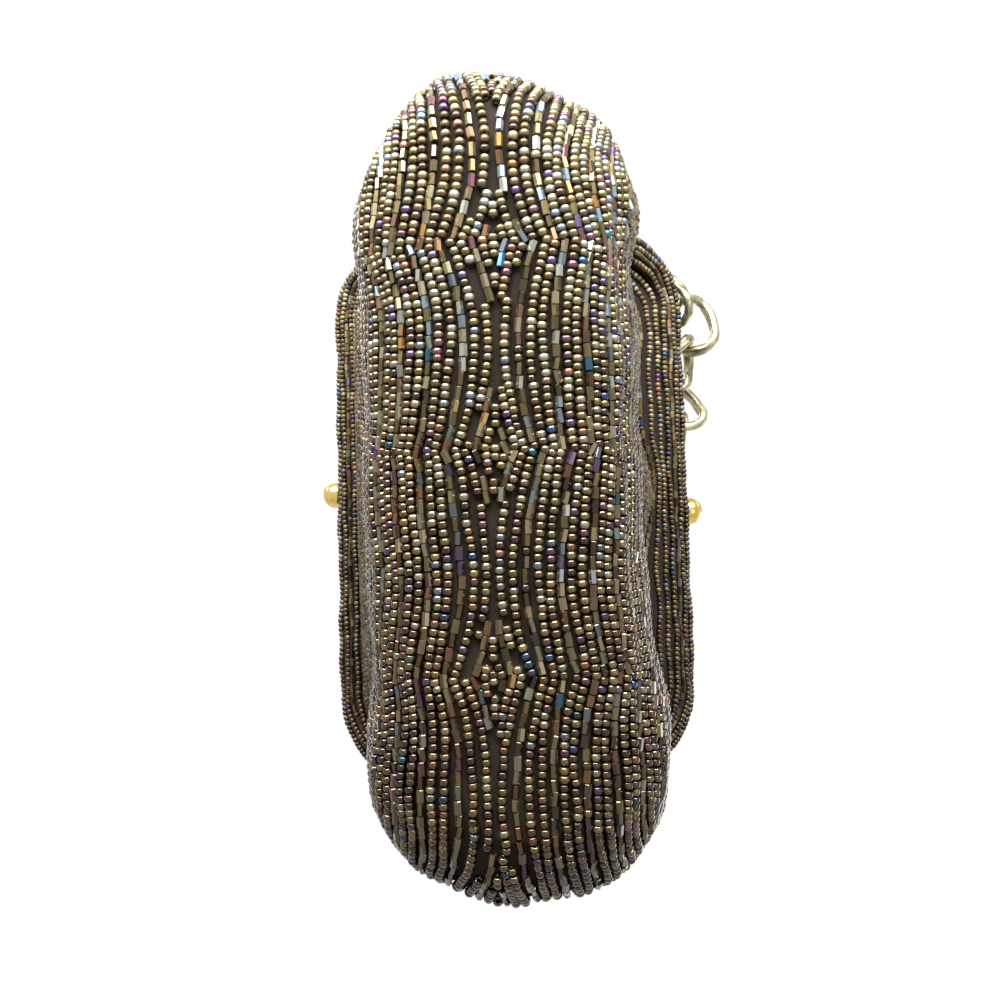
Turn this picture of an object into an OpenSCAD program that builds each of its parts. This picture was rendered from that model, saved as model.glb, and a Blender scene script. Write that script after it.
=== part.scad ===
// Beaded kiss lock frame purse, standing open on its flattened bottom.
// X runs along the bag, -Y is the front, Z is up; the floor is z = 0 (mm).
// The two frame halves turn about one line through the two hinge rivets.

/* [Body] */
// Half length of the bag body at its fullest (mm)
body_half_length = 83; // [74:0.5:92]
// Half depth of the bag body at its fullest (mm)
body_half_depth = 31.5; // [26:0.5:38]
// Height of the rim of the body (mm)
rim_h = 62; // [52:0.5:74]
// Thickness of the beaded fabric (mm)
fabric_t = 2.2; // [1.6:0.1:2.6]
// Thickness of the lining cloth (mm)
lining_t = 0.5; // [0.4:0.1:0.7]
// Thickness of the interlining (mm)
interlining_t = 0.8; // [0.5:0.1:1]
// Space between two layers of cloth (mm)
layer_gap = 0.3; // [0.25:0.05:0.5]
// Thickness of the base board (mm)
board_t = 1.5; // [1:0.1:2]

/* [Frame] */
// Height of the hinge line above the rim (mm)
hinge_rise = 5; // [4.6:0.1:8]
// Angle each frame half is opened from shut (degrees)
open_half = 52; // [30:1:60]
// Height of the bar above the hinge line (mm)
bar_u = 58; // [50:0.5:66]
// Radius of the frame's corners (mm)
corner_r = 18; // [14:0.5:22]
// Inward slope of the legs (degrees)
leg_slope = 5; // [2:0.5:7]
// Width of the rail in the frame's plane (mm)
rail_w = 5; // [4.4:0.1:6]
// Depth of the rail (mm)
rail_d = 4; // [3.8:0.1:5]
// Sheet thickness of the rail (mm)
rail_t = 0.7; // [0.5:0.05:0.8]
// Space between each rail and the closing plane (mm)
shut_gap = 0.15; // [0.1:0.05:0.3]
// Thickness of the beaded cover on the frame (mm)
cover_t = 1.6; // [1.2:0.1:2]
// Radius of the crimping cord in the rail (mm)
cord_r = 0.9; // [0.6:0.05:1]

/* [Hinge] */
// Radius of the rivet (mm)
rivet_r = 1.25; // [0.9:0.05:1.6]
// Running clearance of the rivet in its bores (mm)
rivet_clear = 0.05; // [0.02:0.01:0.1]
// Radius of the rivet heads (mm)
head_r = 2.6; // [2.2:0.1:3.2]
// Radius of the hinge lugs (mm)
lug_r = 4; // [3.4:0.1:4.4]
// Thickness of a hinge lug (mm)
lug_t = 1.4; // [1:0.1:1.8]
// Space between two plates of the hinge (mm)
plate_gap = 0.2; // [0.1:0.05:0.4]

/* [Kiss lock] */
// Radius of the kiss balls (mm)
ball_r = 4; // [3:0.1:5]
// Space between the two balls when shut (mm)
ball_gap = 0.4; // [0.2:0.1:0.8]
// Height of the ball's centre above the bar (mm)
ball_rise = 8.6; // [7.5:0.1:10]
// Radius of the stem under a ball (mm)
stem_r = 1.3; // [1:0.1:1.6]

/* [Chain] */
// Thickness of the chain's wire (mm)
wire_d = 2.9; // [2.6:0.1:2.9]
// Half length of a link along its wire's middle (mm)
link_a = 7.9; // [7.7:0.1:8.3]
// Half width of a link along its wire's middle (mm)
link_b = 5.7; // [5.4:0.1:6.2]
// Twist of a link out of its plane (mm)
link_c = 2.2; // [1.9:0.1:2.3]
// Play of one link in the next, before they are fitted to the route (mm)
link_play = 0.8; // [0.6:0.1:1]
// Height of the chain eye above the hinge line (mm)
eye_rise = 8; // [7.6:0.1:10]
// Radius of the wire of the end rings (mm)
ring_wire_r = 0.8; // [0.6:0.05:1]
// Radius of the end rings, to the middle of the wire (mm)
end_ring_r = 4.5; // [4.3:0.1:5]

/* [Hidden] */
$fn = 48;

hinge_h = rim_h + hinge_rise;
hinge_x = body_half_length * 0.934 - 2;
corner_u = bar_u - corner_r;
leg_end = corner_r * sin(leg_slope) + corner_u;
corner_x = hinge_x - leg_end * tan(leg_slope) - corner_r * cos(leg_slope);
leg_start_u = lug_r + 1;
cover_start_u = leg_start_u + 5;
w0 = shut_gap;
w1 = shut_gap + rail_d;
w_mid = shut_gap + rail_d / 2;
ball_x = ball_r + ball_gap / 2;
back_lug_x = hinge_x - 0.1 - lug_t;
front_lug_x = hinge_x - 0.1 + plate_gap;
tab_t = 1.2;
tab_x = front_lug_x + lug_t + plate_gap;
eye_x = tab_x + tab_t / 2;
eye_z = hinge_h + eye_rise;
eye_hole_r = 2.2;
eye_r = 4;
seam_gap = 0.1;
panel_gap = 0.4;
cover_gap = 0.15;
tuck = 3;

// --- the body's outline ---
rows = [0, 0.048, 0.1, 0.161, 0.26, 0.355, 0.5, 0.645, 0.77, 0.887, 1];
wall_rows = [for (k = rows) if (k > 0.15) k];

function sgn(v) = v < 0 ? -1 : 1;
function half_length(k) = body_half_length * lookup(k, [[0, 0.795],
  [0.048, 0.892], [0.161, 0.97], [0.355, 1], [0.645, 0.988],
  [0.887, 0.952], [1, 0.934]]);
function half_depth(k) = body_half_depth * lookup(k, [[0, 0.444],
  [0.048, 0.698], [0.161, 0.905], [0.355, 1], [0.645, 1],
  [0.887, 1.063], [1, 1.127]]);
function squareness(k) = lookup(k, [[0, 3.5], [0.161, 4.1], [0.5, 4.1], [0.77, 3],
  [1, 2]]);
function ring_pt(k, th, inset, lift, top) =
  let (e = 2 / squareness(k), c = cos(th), s = max(0, sin(th)))
  [(half_length(k) - inset) * sgn(c) * pow(abs(c), e),
   (half_depth(k) - inset) * pow(s, e) + seam_gap / 2,
   lift + (top - lift) * k];
function wall(inset, lift, top, cols, from, to, ks) = [for (k = ks)
  [for (j = [0:cols])
    ring_pt(k, from + (to - from) * j / cols, inset, lift, top)]];

// closes the space between an outer and an inner sheet of points
module skin(outer, inner) {
  r = len(outer);
  c = len(outer[0]);
  n = r * c;
  polyhedron(points = concat([for (q = outer) each q], [for (q = inner) each q]),
    faces = concat(
      [for (i = [0:r - 2], j = [0:c - 2]) each
        let (a = i * c + j, b = a + 1, d = a + c, e = d + 1)
        [[a, e, b], [a, d, e], [n + a, n + b, n + e], [n + a, n + e, n + d]]],
      [for (j = [0:c - 2]) each let (a = j, b = j + 1)
        [[a, b, n + b], [a, n + b, n + a]]],
      [for (j = [0:c - 2]) each let (d = (r - 1) * c + j, e = d + 1)
        [[e, d, n + d], [e, n + d, n + e]]],
      [for (i = [0:r - 2]) each let (a = i * c, d = a + c)
        [[d, a, n + a], [d, n + a, n + d]]],
      [for (i = [0:r - 2]) each let (b = i * c + c - 1, e = b + c)
        [[b, e, n + e], [b, n + e, n + b]]]));
}

// a half bag: a wall with a flat bottom, open at the seam and at the top
module cup(inset, thick, lift, cols) {
  outer = wall(inset, lift, rim_h, cols, 0, 180, rows);
  inner = wall(inset + thick, lift + thick, rim_h, cols, 0, 180, rows);
  c = cols + 1;
  r = len(rows);
  n = r * c;
  polyhedron(points = concat([for (q = outer) each q], [for (q = inner) each q]),
    faces = concat(
      [for (i = [0:r - 2], j = [0:c - 2]) each
        let (a = i * c + j, b = a + 1, d = a + c, e = d + 1)
        [[a, e, b], [a, d, e], [n + a, n + b, n + e], [n + a, n + e, n + d]]],
      [for (j = [0:c - 2]) each let (d = (r - 1) * c + j, e = d + 1)
        [[e, d, n + d], [e, n + d, n + e]]],
      [for (i = [0:r - 2]) each let (a = i * c, d = a + c)
        [[d, a, n + a], [d, n + a, n + d]]],
      [for (i = [0:r - 2]) each let (b = i * c + c - 1, e = b + c)
        [[b, e, n + e], [b, n + e, n + b]]],
      [[0, c - 1, n + c - 1], [0, n + c - 1, n],
       [for (j = [0:c - 1]) j], [for (j = [c - 1:-1:0]) n + j]]));
}

cols = 24;
module shell_half() cup(0, fabric_t, 0, cols);
module shell_back() color([0.36, 0.3, 0.2]) shell_half();
module shell_front() color([0.36, 0.3, 0.2]) mirror([0, 1, 0]) shell_half();

in_1 = fabric_t + layer_gap;
in_2 = in_1 + interlining_t;
in_3 = in_2 + layer_gap;
in_4 = in_3 + lining_t;
module interlining_half() skin(
  wall(in_1, in_1, rim_h, cols, 0, 180, wall_rows),
  wall(in_2, in_1 + 0.4, rim_h, cols, 0, 180, wall_rows));
module interlining_back() color([0.85, 0.83, 0.78]) interlining_half();
module interlining_front() color([0.85, 0.83, 0.78])
  mirror([0, 1, 0]) interlining_half();

module base_board() color([0.62, 0.55, 0.42])
  translate([0, 0, fabric_t + layer_gap]) linear_extrude(board_t)
    polygon([for (j = [0:39]) let (c = cos(9 * j), s = sin(9 * j))
      [(half_length(0) - fabric_t - 0.6) * sgn(c) * pow(abs(c), 0.667),
       (half_depth(0) - fabric_t - 0.6) * sgn(s) * pow(abs(s), 0.667)]]);

board_top = fabric_t + layer_gap + board_t;
lining_z = board_top + layer_gap;
module pouch_half() cup(in_3, lining_t, lining_z, cols);
module pouch_back() color([0.42, 0.28, 0.2]) pouch_half();
module pouch_front() color([0.42, 0.28, 0.2]) mirror([0, 1, 0]) pouch_half();

// an open slip pocket lies on the lining of the back wall
pocket_rows = [0.34, 0.45, 0.56, 0.67, 0.78];
in_5 = in_4 + layer_gap;
module inner_pocket() color([0.42, 0.28, 0.2]) skin(
  wall(in_5, lining_z, rim_h, 8, 55, 125, pocket_rows),
  wall(in_5 + lining_t, lining_z, rim_h, 8, 55, 125, pocket_rows));

// --- the frame: X, w outward from the closing plane, u up from the hinges ---
module on_front() translate([0, 0, hinge_h]) rotate([open_half, 0, 0]) children();
module on_back() mirror([0, 1, 0]) on_front() children();

// outline of the frame from foot to foot, moved n outward
function outline(n, from_u) = let (s = leg_slope, q = (leg_end - from_u) / cos(s),
  half = concat([[corner_x + (corner_r + n) * cos(s) + q * sin(s),
                  corner_u + (corner_r + n) * sin(s) - q * cos(s)]],
    [for (i = [0:12]) let (t = s + (90 - s) * i / 12)
      [corner_x + (corner_r + n) * cos(t), corner_u + (corner_r + n) * sin(t)]]))
  concat(half, [for (i = [len(half) - 1:-1:0]) [-half[i][0], half[i][1]]]);
// a strip round the frame, from n0 to n1 outward and from w_a to w_b
module band(n0, n1, w_a, w_b, from_u) let (inner = outline(n0, from_u))
  rotate([90, 0, 0]) translate([0, 0, w_a]) linear_extrude(w_b - w_a)
    polygon(concat(outline(n1, from_u),
      [for (i = [len(inner) - 1:-1:0]) inner[i]]));
module both_sides() { children(); mirror([1, 0, 0]) children(); }

// a lug disc on the hinge line, its arm and the foot that joins it to the leg
foot_x = hinge_x - (leg_start_u + 4) * tan(leg_slope) - 0.4;
module lug(x) difference() {
  union() {
    translate([x, 0, 0]) rotate([0, 90, 0]) cylinder(r = lug_r, h = lug_t);
    translate([x, -w1, 0]) cube([lug_t, rail_d, leg_start_u + 4]);
    translate([foot_x, -w1, leg_start_u]) cube([x + lug_t - foot_x, rail_d, 4]);
  }
  translate([x - 1, 0, 0]) rotate([0, 90, 0])
    cylinder(r = rivet_r + rivet_clear, h = lug_t + 2);
}
module rail(lug_x) color([0.72, 0.6, 0.36]) {
  difference() {
    band(-rail_w, 0, w0, w1, leg_start_u);
    band(-rail_w - 2, -rail_t, w0 + rail_t, w1 - rail_t, leg_start_u - 2);
  }
  both_sides() lug(lug_x);
}
module front_rail() on_front() rail(front_lug_x);
module back_rail() on_back() rail(back_lug_x);

module cover(x) color([0.4, 0.34, 0.22]) difference() {
  band(-rail_w - 1, cover_gap + cover_t, w0 + 0.05, w1 + cover_gap + cover_t,
       cover_start_u);
  band(-rail_w - 3, cover_gap, w0 - 1, w1 + cover_gap, cover_start_u - 2);
  translate([x, -w_mid, bar_u - 1]) cylinder(r = stem_r + 0.9, h = 5);
}
module front_cover() on_front() cover(ball_x);
module back_cover() on_back() cover(-ball_x);

// a paper cord, pressed square, holds the cloth in the channel
module cord() color([0.8, 0.76, 0.66])
  band(-rail_t - 2 * cord_r - 0.1, -rail_t - 0.1, w_mid - cord_r, w_mid + cord_r,
       leg_start_u + 4);
module front_cord() on_front() cord();
module back_cord() on_back() cord();

// a collar on the rail, then a stem that leans to the ball
ball_w = w0 + 0.75;
stem_lean = atan((w_mid - ball_w) / (ball_rise - 1.4));
module stem(x) color([0.78, 0.6, 0.28]) difference() {
  union() {
    translate([x, -w_mid, bar_u]) cylinder(r1 = stem_r + 0.6, r2 = stem_r, h = 2.4);
    translate([x, -w_mid, bar_u + 1.4]) rotate([-stem_lean, 0, 0])
      cylinder(r = stem_r - 0.1, h = ball_rise - ball_r);
  }
  translate([x, -ball_w, bar_u + ball_rise]) sphere(ball_r + 0.03);
}
module front_stem() on_front() stem(ball_x);
module back_stem() on_back() stem(-ball_x);
module ball(x) color([0.95, 0.75, 0.3])
  translate([x, -ball_w, bar_u + ball_rise]) sphere(ball_r);
module front_ball() on_front() ball(ball_x);
module back_ball() on_back() ball(-ball_x);

// --- the cloth between the rim and the frame ---
leg_len = (leg_end - cover_start_u) / cos(leg_slope);
arc_len = corner_r * (90 - leg_slope) * PI / 180;
path_len = 2 * leg_len + 2 * arc_len + 2 * corner_x;
// point [X, u] on the outline moved n outward; d is the way from the right foot
function path_pt(d, n) = d > path_len / 2
  ? let (p = path_pt(path_len - d, n)) [-p[0], p[1]]
  : d < leg_len
  ? let (q = leg_len - d, s = leg_slope)
    [corner_x + (corner_r + n) * cos(s) + q * sin(s),
     corner_u + (corner_r + n) * sin(s) - q * cos(s)]
  : d < leg_len + arc_len
  ? let (t = leg_slope + (d - leg_len) / corner_r * 180 / PI)
    [corner_x + (corner_r + n) * cos(t), corner_u + (corner_r + n) * sin(t)]
  : [corner_x - (d - leg_len - arc_len), bar_u + n];
function in_back(x, w, u) = [x, u * sin(open_half) + w * cos(open_half),
  hinge_h + u * cos(open_half) - w * sin(open_half)];
function in_front(x, w, u) = let (p = in_back(x, w, u)) [p[0], -p[1], p[2]];
function rail_pt(j, cols, n, w) = let (p = path_pt(path_len * j / cols, n))
  in_back(p[0], w, p[1]);
// the cloth leaves the channel straight, then spreads out to the rim
side = 24;
function sheet(inset, w, end_n) = concat(
  [for (k = [0, 0.22, 0.48, 0.76, 1]) [for (j = [0:cols])
    let (p = ring_pt(1, side + (180 - 2 * side) * j / cols, inset, 0, rim_h),
         q = rail_pt(j, cols, -rail_w - 3.5, w + 0.5), m = 1.5 * sin(180 * k))
    [p[0] + (q[0] - p[0]) * k, p[1] + (q[1] - p[1]) * k + m,
     p[2] + panel_gap + (q[2] - p[2] - panel_gap) * k]]],
  [[for (j = [0:cols]) rail_pt(j, cols, -rail_w - 1, w)]],
  [[for (j = [0:cols]) rail_pt(j, cols, end_n, w)]]);
module panel() color([0.36, 0.3, 0.2]) skin(
  sheet(0, w_mid + fabric_t / 2, -tuck), sheet(fabric_t, w_mid - fabric_t / 2, -tuck));
module back_panel() panel();
module front_panel() mirror([0, 1, 0]) panel();
lining_w = w_mid - fabric_t / 2 - layer_gap;
module inner_sheet() color([0.42, 0.28, 0.2]) skin(
  sheet(in_3, lining_w, -rail_w - 0.5), sheet(in_4, lining_w - lining_t, -rail_w - 0.5));
module back_lining() inner_sheet();
module front_lining() mirror([0, 1, 0]) inner_sheet();

// --- hinge rivets, chain tabs and end rings: right side, mirrored for left ---
module rivet() color([0.75, 0.62, 0.36]) translate([0, 0, hinge_h]) rotate([0, 90, 0]) {
  translate([0, 0, back_lug_x - plate_gap - 1]) cylinder(r = head_r, h = 1);
  translate([0, 0, back_lug_x - plate_gap - 1])
    cylinder(r = rivet_r, h = tab_x + tab_t + plate_gap + 2 - back_lug_x + plate_gap);
  translate([0, 0, tab_x + tab_t + plate_gap])
    cylinder(r1 = head_r, r2 = head_r - 0.5, h = 1);
}
module rivet_right() rivet();
module rivet_left() mirror([1, 0, 0]) rivet();
module chain_tab() color([0.75, 0.62, 0.36]) difference() {
  union() {
    translate([tab_x, 0, hinge_h]) rotate([0, 90, 0]) cylinder(r = lug_r, h = tab_t);
    translate([tab_x, 0, eye_z]) rotate([0, 90, 0]) cylinder(r = eye_r, h = tab_t);
    translate([tab_x, -lug_r + 1, hinge_h]) cube([tab_t, 2 * lug_r - 2, eye_rise]);
  }
  translate([tab_x - 1, 0, hinge_h]) rotate([0, 90, 0])
    cylinder(r = rivet_r + rivet_clear, h = tab_t + 2);
  translate([tab_x - 1, 0, eye_z]) rotate([0, 90, 0])
    cylinder(r = eye_hole_r, h = tab_t + 2);
}
module chain_tab_right() chain_tab();
module chain_tab_left() mirror([1, 0, 0]) chain_tab();

ring_lean = 10;
// a ring hangs against the far edge of its eye
ring_seat = 0.4;
ring_out = end_ring_r + eye_hole_r - ring_wire_r - ring_seat;
ring_right = [eye_x - ring_out * sin(ring_lean), 0, eye_z + ring_out * cos(ring_lean)];
left_lean = 38;
ring_left = [-eye_x, -ring_out * sin(left_lean), eye_z + ring_out * cos(left_lean)];
module end_ring() color([0.8, 0.72, 0.5])
  rotate_extrude() translate([end_ring_r, 0]) circle(ring_wire_r, $fn = 24);
module end_ring_right() translate(ring_right) rotate([90, 0, 0]) end_ring();
module end_ring_left() translate(ring_left) rotate([90 + left_lean, 0, 0]) end_ring();

// --- the chain ---
function unit(v) = v / norm(v);
bar_top = in_front(0, w0, bar_u + cover_gap + cover_t);
step = 2 * link_a - wire_d - link_play;
start_dir = [0, -sin(left_lean), cos(left_lean)];
end_dir = unit([-0.84, 0, -0.54]);
hold = end_ring_r - ring_wire_r - wire_d / 2 - 0.25;
// points of the route, each with the way the flat of a link faces there
route = [
  [ring_left + start_dir * hold, [-1, 0, 0]],
  [ring_left + start_dir * (hold + 10), [-1, 0.05, 0]],
  [in_front(-hinge_x + 0.4, -9.5, 24), [-0.8, 0.35, 0.45]],
  [in_front(-hinge_x + 4.6, -7, corner_u - 4), [-0.5, 0.5, 0.72]],
  [in_front(-corner_x - 13, -5.4, corner_u + 6.5), [-0.3, 0.42, 0.85]],
  [[-corner_x - 8.6, bar_top[1] + 2.4, bar_top[2] + 2.6], [-0.15, 0.25, 0.95]],
  [[-corner_x - 3.4, bar_top[1] - 4.4, bar_top[2] + 3.2], [-0.1, 0.16, 1]],
  [[-corner_x + 3.4, bar_top[1] - 9.2, bar_top[2] + 3.4], [0.05, 0.5, 0.85]],
  [[-corner_x + 12, bar_top[1] - 10.4, bar_top[2] + 3.4], [0, 0.5, 0.87]],
  [[-corner_x + 21, bar_top[1] - 7, bar_top[2] + 4], [0, 0.6, 0.8]],
  [[-corner_x + 30, bar_top[1] - 4.6, bar_top[2] + 5], [0, 0.6, 0.8]],
  [[-corner_x + 38.4, bar_top[1] + 0.4, bar_top[2] + 5.5], [0, 0.6, 0.8]],
  [[-corner_x + 44, bar_top[1] + 7, bar_top[2] + 2], [0, 0.75, 0.6]],
  [[-corner_x + 48, bar_top[1] + 12, bar_top[2] - 5], [-0.1, 0.9, 0.4]],
  [[-corner_x + 51, bar_top[1] + 17, bar_top[2] - 18], [-0.35, 0.9, 0.2]],
  [[-2, -half_depth(1) + 11, rim_h + 2], [-0.7, 0.7, 0]],
  [[-1, -half_depth(0.6) + 11.5, rim_h * 0.7], [-1, 0.2, 0]],
  [[1, -half_depth(0.4) + 14, rim_h * 0.46], [-1, 0, -0.1]],
  [[6, -half_depth(0.4) + 15.5, rim_h * 0.3], [-0.85, 0, -0.5]],
  [[15, -13, 13.2], [-0.4, 0, -0.9]],
  [[27, -9.5, 12], [0, 0, -1]],
  [[39, -6, 12.6], [0.1, 0, -1]],
  [[46.5, -4, 13.4], [0.35, 0, -0.95]],
  [[hinge_x - 23.8, -2.6, rim_h * 0.28], [0.7, 0, -0.7]],
  [[hinge_x - 20.8, -1.6, rim_h * 0.39], [0.9, 0, -0.45]],
  [[hinge_x - 19.8, -0.8, rim_h * 0.52], [1, 0, -0.1]],
  [[hinge_x - 20.2, -0.2, rim_h * 0.7], [1, 0, 0.1]],
  [[hinge_x - 19.6, 0, rim_h * 0.88], [1, 0, -0.2]],
  [[hinge_x - 17.4, 0, rim_h], [0.95, 0, -0.4]],
  [ring_right + end_dir * (hold + 14.5), [0.7, 0, -0.7]],
  [ring_right + end_dir * (hold + 8), [0.55, 0, -0.8]],
  [ring_right + end_dir * hold, [0.43, 0, -0.9]]];
spans = [for (i = [0:len(route) - 2]) norm(route[i + 1][0] - route[i][0])];
function total(v, n) = n <= 0 ? 0 : v[n - 1] + total(v, n - 1);
marks = [for (i = [0:len(route) - 1]) total(spans, i)];
run = marks[len(route) - 1];
function span_of(s, i = 0) = i >= len(spans) - 1 || s < marks[i + 1]
  ? i : span_of(s, i + 1);
function on_route(s, k) = let (i = span_of(s), t = (s - marks[i]) / spans[i])
  route[i][k] * (1 - t) + route[i + 1][k] * t;
// the corners of the route are rounded by averaging over one link
function spot(s) = let (h = min(5, s, run - s))
  (on_route(s - h, 0) + 2 * on_route(s, 0) + on_route(s + h, 0)) / 4;
links = round((run - 2 * link_a) / step) + 1;
pitch = (run - 2 * link_a) / (links - 1);
module link(i) {
  s = link_a + i * pitch;
  // the first and last link hang straight in their end rings
  p = i == 0 ? ring_left + start_dir * (hold + link_a)
    : i == links - 1 ? ring_right + end_dir * (hold + link_a) : spot(s);
  t = i == 0 ? start_dir : i == links - 1 ? -end_dir
    : unit(spot(min(run, s + 6)) - spot(max(0, s - 6)));
  f = on_route(s, 1);
  n = unit(f - t * (f * t));
  b = cross(n, t);
  m = 16;
  polyhedron(points = [for (j = [0:m - 1]) each
      let (a = 360 * j / m, o = p + link_a * cos(a) * t + link_b * sin(a) * b
        + link_c * sin(2 * a) * n,
        q = unit(-link_a * sin(a) * t + link_b * cos(a) * b
          + 2 * link_c * cos(2 * a) * n),
        r = unit(cos(a) * t + sin(a) * b), g = unit(r - q * (q * r)),
        h = cross(q, g))
      [for (e = [0:5]) o + wire_d / 2 * (cos(60 * e) * g + sin(60 * e) * h)]],
    faces = [for (j = [0:m - 1], e = [0:5]) each
      let (a = j * 6 + e, c = j * 6 + (e + 1) % 6, k = (j + 1) % m * 6,
        d = k + e, f = k + (e + 1) % 6)
      [[a, d, f], [a, f, c]]]);
}
over_bar = [for (i = [0:links - 1]) let (p = spot(link_a + i * pitch))
  if (p[0] < -4 && p[2] > bar_top[2] - 26) i];
module chain_over_bar() color([0.85, 0.8, 0.66]) for (i = over_bar) link(i);
module chain_inside() color([0.85, 0.8, 0.66]) for (i = [0:links - 1])
  if (len(search(i, over_bar)) == 0) link(i);

// --- the parts that are drawn ---
shell_front();
shell_back();
interlining_front();
interlining_back();
base_board();
pouch_front();
pouch_back();
inner_pocket();
rivet_left();
rivet_right();
chain_tab_left();
chain_tab_right();
end_ring_left();
end_ring_right();
chain_inside();
front_rail();
front_stem();
front_ball();
front_cover();
front_cord();
front_panel();
front_lining();
chain_over_bar();
back_rail();
back_stem();
back_ball();
back_cover();
back_cord();
back_panel();
back_lining();
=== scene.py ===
import bpy
import numpy as np
from mathutils import Matrix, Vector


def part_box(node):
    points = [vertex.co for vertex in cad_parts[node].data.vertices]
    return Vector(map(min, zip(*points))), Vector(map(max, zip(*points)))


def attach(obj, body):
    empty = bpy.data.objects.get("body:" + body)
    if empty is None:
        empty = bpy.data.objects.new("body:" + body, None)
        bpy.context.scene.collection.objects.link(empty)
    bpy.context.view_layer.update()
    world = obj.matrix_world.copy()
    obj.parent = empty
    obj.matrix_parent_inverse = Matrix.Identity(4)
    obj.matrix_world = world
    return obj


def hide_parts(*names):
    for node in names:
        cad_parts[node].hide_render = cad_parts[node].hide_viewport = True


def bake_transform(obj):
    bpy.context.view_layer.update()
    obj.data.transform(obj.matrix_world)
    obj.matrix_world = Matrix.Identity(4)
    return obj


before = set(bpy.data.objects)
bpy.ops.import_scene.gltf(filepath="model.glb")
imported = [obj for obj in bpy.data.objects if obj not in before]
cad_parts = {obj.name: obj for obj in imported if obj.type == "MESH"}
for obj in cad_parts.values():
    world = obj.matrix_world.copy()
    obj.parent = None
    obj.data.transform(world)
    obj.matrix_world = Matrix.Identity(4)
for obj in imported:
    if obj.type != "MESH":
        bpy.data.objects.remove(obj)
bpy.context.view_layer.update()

# === The camera ===
# The photograph looks straight up at the flattened bottom of the purse from 17 cm below it,
# with the left end of the bag at the top of the picture.
photo_lens = bpy.data.cameras.new("camera")
photo_lens.sensor_width, photo_lens.lens = 36, 33.12
photo_lens.clip_start = 0.01
tilt = [np.radians(v) for v in (1.913, 0.546, 1.872)]
ca, sa, cb, sb, cc, sc = [f(v) for v in tilt for f in (np.cos, np.sin)]
look = (np.array([[1, 0, 0], [0, ca, -sa], [0, sa, ca]])
        @ np.array([[cb, 0, sb], [0, 1, 0], [-sb, 0, cb]])
        @ np.array([[cc, -sc, 0], [sc, cc, 0], [0, 0, 1]])
        @ np.array([[0, -1, 0], [-1, 0, 0], [0, 0, 1]]))
camera = bpy.data.objects.new("camera", photo_lens)
bpy.context.scene.collection.objects.link(camera)
camera.matrix_world = Matrix.Translation((0.00832, 0.00138, -0.17027)) @ Matrix(
    [[look[0][i], look[1][i], -look[2][i]] for i in range(3)]).to_4x4()
bpy.context.scene.camera = camera

# === The studio ===
# A white sweep of paper that can be seen only from above, so that the bottom of the bag shows
# through it from below, with large soft lamps and a white room.
floor_mesh = bpy.data.meshes.new("paper_floor")
floor_mesh.from_pydata([(-1.5, -1.5, -0.0003), (1.5, -1.5, -0.0003), (1.5, 1.5, -0.0003),
                        (-1.5, 1.5, -0.0003)], [], [(0, 1, 2, 3)])
floor = bpy.data.objects.new("paper_floor", floor_mesh)
bpy.context.scene.collection.objects.link(floor)
paper = bpy.data.materials.new("white_paper")
paper.use_nodes = True
nt = paper.node_tree
nt.nodes.clear()
out = nt.nodes.new("ShaderNodeOutputMaterial")
mix = nt.nodes.new("ShaderNodeMixShader")
clear = nt.nodes.new("ShaderNodeBsdfTransparent")
matt = nt.nodes.new("ShaderNodeBsdfDiffuse")
matt.inputs["Color"].default_value = (0.86, 0.86, 0.855, 1)
rays = nt.nodes.new("ShaderNodeLightPath")
face = nt.nodes.new("ShaderNodeNewGeometry")
above = nt.nodes.new("ShaderNodeMath")
above.operation = "SUBTRACT"
above.inputs[0].default_value = 1
seen = nt.nodes.new("ShaderNodeMath")
seen.operation = "MULTIPLY"
nt.links.new(face.outputs["Backfacing"], above.inputs[1])
nt.links.new(above.outputs[0], seen.inputs[0])
nt.links.new(rays.outputs["Is Camera Ray"], seen.inputs[1])
nt.links.new(seen.outputs[0], mix.inputs["Fac"])
nt.links.new(clear.outputs[0], mix.inputs[1])
nt.links.new(matt.outputs[0], mix.inputs[2])
nt.links.new(mix.outputs[0], out.inputs["Surface"])
floor_mesh.materials.append(paper)

room = bpy.data.worlds.new("white_room")
bpy.context.scene.world = room
room.use_nodes = True
nt = room.node_tree
back = nt.nodes["Background"]
back.inputs["Color"].default_value = (1, 1, 1, 1)
rays = nt.nodes.new("ShaderNodeLightPath")
shown = nt.nodes.new("ShaderNodeMath")
shown.operation = "MAXIMUM"
nt.links.new(rays.outputs["Is Camera Ray"], shown.inputs[0])
nt.links.new(rays.outputs["Is Transmission Ray"], shown.inputs[1])
mirrored = nt.nodes.new("ShaderNodeMath")
mirrored.operation = "MAXIMUM"
nt.links.new(shown.outputs[0], mirrored.inputs[0])
nt.links.new(rays.outputs["Is Glossy Ray"], mirrored.inputs[1])
level = nt.nodes.new("ShaderNodeMapRange")
level.inputs["To Min"].default_value = 0.62
nt.links.new(mirrored.outputs[0], level.inputs["Value"])
nt.links.new(level.outputs[0], back.inputs["Strength"])


def lamp(name, spot, aim, size, watts, tint=(1, 1, 1), tall=None):
    data = bpy.data.lights.new(name, "AREA")
    data.shape, data.size, data.energy, data.color = "DISK", size, watts, tint
    if tall:
        data.shape, data.size_y = "RECTANGLE", tall
    o = bpy.data.objects.new(name, data)
    bpy.context.scene.collection.objects.link(o)
    o.location = spot
    way = Matrix.Translation(spot).to_translation() - Matrix.Translation(aim).to_translation()
    o.rotation_euler = way.to_track_quat("Z", "Y").to_euler()


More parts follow.
